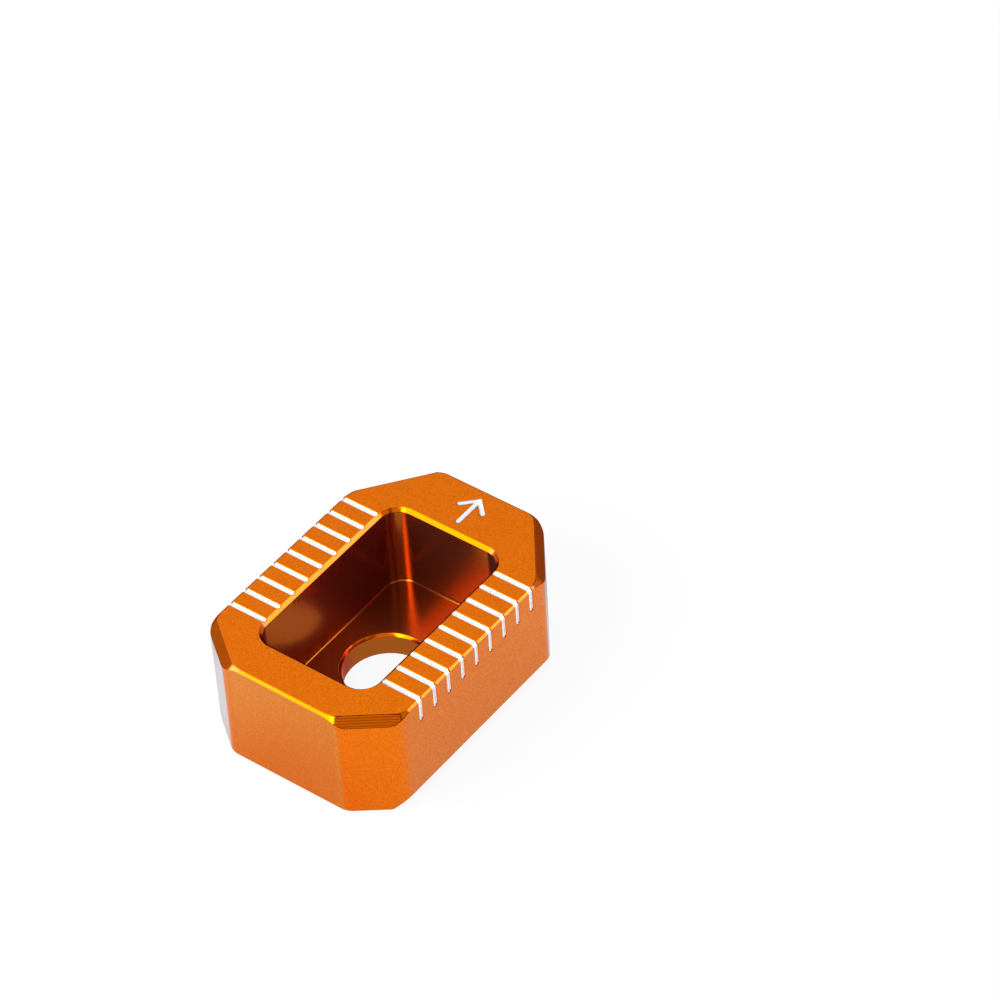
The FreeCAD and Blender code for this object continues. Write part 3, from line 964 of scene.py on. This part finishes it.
glow = add(card, "Emission", {"Color": glow_colour, "Strength": strength})
shown = add(card, "Math", {"operation": "MAXIMUM", 0: to_camera, 1: to_gloss})
share = add(card, "Math", {"operation": "MULTIPLY", 0: shown, 1: CARD_GLOW})
matt = add(card, "BsdfDiffuse", {"Color": linear(CARD)})
add(card, "OutputMaterial", {"Surface": add(card, "MixShader", {0: share, 1: matt, 2: glow})})
print("nodes in the card:", len(card.nodes))

# %% Floor and sky
FLOOR_HALF = 3.0
ROOM_STRENGTH = 0.17
SKY = "FDFDFD"
floor_mesh = bpy.data.meshes.new("sweep")
floor_corners = [
    (x * FLOOR_HALF, y * FLOOR_HALF, 0) for x, y in ((-1, -1), (1, -1), (1, 1), (-1, 1))
]
floor_mesh.from_pydata(floor_corners, [], [(0, 1, 2, 3)])
floor_mesh.materials.append(white_card)
sweep = bpy.data.objects.new("sweep", floor_mesh)
bpy.context.scene.collection.objects.link(sweep)

world = bpy.data.worlds.new("studio")
world.use_nodes = True
bpy.context.scene.world = world
sky = world.node_tree
sky.nodes.clear()
to_camera = add(sky, "LightPath", output="Is Camera Ray")
room = add(sky, "Background", {"Color": linear(CLEAR), "Strength": ROOM_STRENGTH})
white = add(sky, "Background", {"Color": linear(SKY), "Strength": 1.0})
add(sky, "OutputWorld", {"Surface": add(sky, "MixShader", {0: to_camera, 1: room, 2: white})})
print(f"floor {2 * FLOOR_HALF:.0f} m wide, room light {ROOM_STRENGTH}")

# %% [markdown]
# A soft box is an area lamp. Its brightness as a mirror shows it is its power over pi
# times its area, so the power is worked out from the brightness wanted. Each one has a
# place on the block where it shows, found by a render without it. The large one behind
# lights the top face. The one at the left turns the chamfers yellow and warms the
# pocket's far wall and floor, and the narrow one beside it draws the bright line down
# the pocket's far corner. The one at the right lights the long rim of the pocket that
# faces it. The weak one in front, by the camera, shows in the facet at the near right.
# Three dim ones stand for reflector cards: the left card lifts the facet at the near
# left, the right card the near end of the pocket's floor, and the far card the facet
# at the far right. Between them the room is dim, and so the pocket's deep walls are dark.

# %% Soft boxes
CAMERA_AZIMUTH = -140.746
CAMERA_ELEVATION = 43.603
# Azimuth and elevation in degrees, distance, width and height in metres, brightness.
SOFT_BOXES = {
    "back_soft_box": (39, 62, 0.9, 1.2, 1.15, 0.87),
    "left_soft_box": (151, 37, 0.8, 0.86, 0.74, 4.9),
    "left_strip_box": (182, 42, 0.8, 0.17, 0.5, 6.0),
    "right_soft_box": (-51, 28, 0.8, 0.34, 0.30, 3.8),
    "left_card": (95, 19, 0.8, 1.12, 0.46, 0.42),
    "right_card": (-62, 45, 0.8, 0.9, 0.34, 0.55),
    "far_card": (-20, 14, 0.8, 0.4, 0.3, 0.47),
    "front_soft_box": (CAMERA_AZIMUTH, CAMERA_ELEVATION, 1.5, 0.8, 0.6, 0.65),
}


def toward(azimuth, elevation):
    """Unit vector: the cosine and sine of the azimuth, flattened by the cosine of the
    elevation, with its sine for the height."""
    a, e = math.radians(azimuth), math.radians(elevation)
    return Vector((math.cos(e) * math.cos(a), math.cos(e) * math.sin(a), math.sin(e)))


for name, (azimuth, elevation, distance, width, height, brightness) in SOFT_BOXES.items():
    lamp = bpy.data.lights.new(name, "AREA")
    lamp.shape = "RECTANGLE"
    lamp.size = width
    lamp.size_y = height
    lamp.energy = brightness * math.pi * width * height
    box = bpy.data.objects.new(name, lamp)
    box.location = toward(azimuth, elevation) * distance
    box.rotation_euler = (-box.location).to_track_quat("-Z", "Y").to_euler()
    bpy.context.scene.collection.objects.link(box)
    print(f"{name}: {lamp.energy:.2f} W")

# %% [markdown]
# ## The camera
#
# The photograph was taken with a long lens. Where the block's edges run in it gave
# the lens, the place and the tilt of the camera, with the block at the lower left.

# %% Camera
FOCAL_MM = 169.25
SENSOR_MM = 36.0
CAMERA_ROLL = 3.7676
CAMERA_DISTANCE = 1.09381
CAMERA_AIM = Vector((0.0622019, 0.0150015, 0.0))

back = toward(CAMERA_AZIMUTH, CAMERA_ELEVATION)
level = Vector((0, 0, 1)).cross(back).normalized()
upright = back.cross(level)
roll = math.radians(CAMERA_ROLL)
right = level * math.cos(roll) - upright * math.sin(roll)
up = upright * math.cos(roll) + level * math.sin(roll)
lens = bpy.data.cameras.new("camera")
lens.lens = FOCAL_MM
lens.sensor_width = SENSOR_MM
camera = bpy.data.objects.new("camera", lens)
turned = Matrix((right, up, back)).transposed().to_4x4()
camera.matrix_world = Matrix.Translation(CAMERA_AIM + back * CAMERA_DISTANCE) @ turned
bpy.context.scene.collection.objects.link(camera)
bpy.context.scene.camera = camera
print("camera at", [round(value, 4) for value in camera.matrix_world.translation])

# %% [markdown]
# ## Colour and the last lines
#
# The view transform Standard shows each colour about as it is written.

# %% Finish
bpy.context.scene.view_settings.view_transform = "Standard"
bpy.context.view_layer.update()
